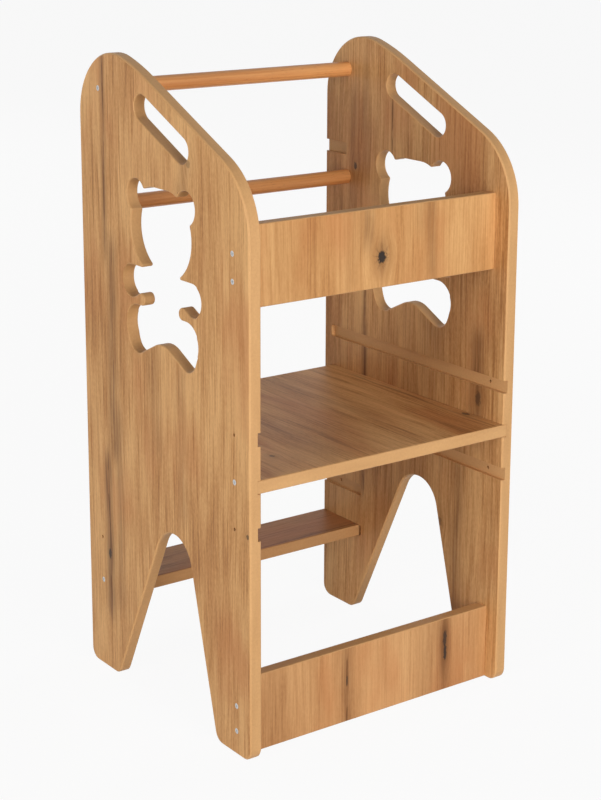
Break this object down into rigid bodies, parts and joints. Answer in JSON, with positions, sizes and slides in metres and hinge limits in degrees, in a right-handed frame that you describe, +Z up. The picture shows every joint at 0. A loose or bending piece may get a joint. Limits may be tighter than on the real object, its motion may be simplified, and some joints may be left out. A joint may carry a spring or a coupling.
{
  "type": "toddler kitchen helper stool",
  "caption": "Child's standing stool: two sloping side boards with leg arches, hand slots and bear cut-outs, a grooved-in platform and step, front rails and rear bars.",
  "frame": {"origin": "on the floor at the centre of the footprint", "axes": "+Z up, -Y to the front (the side with the two flat rails), +Y to the rear where the child climbs in, +X to the right seen from the front"},
  "size_m": [0.45, 0.42, 0.91],
  "materials": {
    "oak_board": "matt oak-look board",
    "beech_bar": "oiled beech",
    "steel_screw": "zinc-plated"
  },
  "bodies": {
    "frame": {"bottom_rail_lower_screw_left": "steel_screw", "bottom_rail_lower_screw_right": "steel_screw", "bottom_rail_upper_screw_left": "steel_screw", "bottom_rail_upper_screw_right": "steel_screw", "front_bottom_rail": "oak_board", "front_top_rail": "oak_board", "left_side_panel": "oak_board", "platform_lock_screw_left": "steel_screw", "platform_lock_screw_right": "steel_screw", "rear_lower_bar": "beech_bar", "rear_top_bar": "beech_bar", "right_side_panel": "oak_board", "step_lock_screw_left": "steel_screw", "step_lock_screw_right": "steel_screw", "top_bar_screw_left": "steel_screw", "top_bar_screw_right": "steel_screw", "top_rail_lower_screw_left": "steel_screw", "top_rail_lower_screw_right": "steel_screw", "top_rail_upper_screw_left": "steel_screw", "top_rail_upper_screw_right": "steel_screw"},
    "standing_board": {"platform": "oak_board"},
    "step": {"step_board": "oak_board"}
  },
  "joints": [
    {"name": "platform_slide", "type": "slide", "parent": "frame", "child": "standing_board", "axis": [0, -1, 0], "range_m": [0, 0.398]},
    {"name": "step_slide", "type": "slide", "parent": "frame", "child": "step", "axis": [0, 1, 0], "range_m": [0, 0.093]}
  ]
}
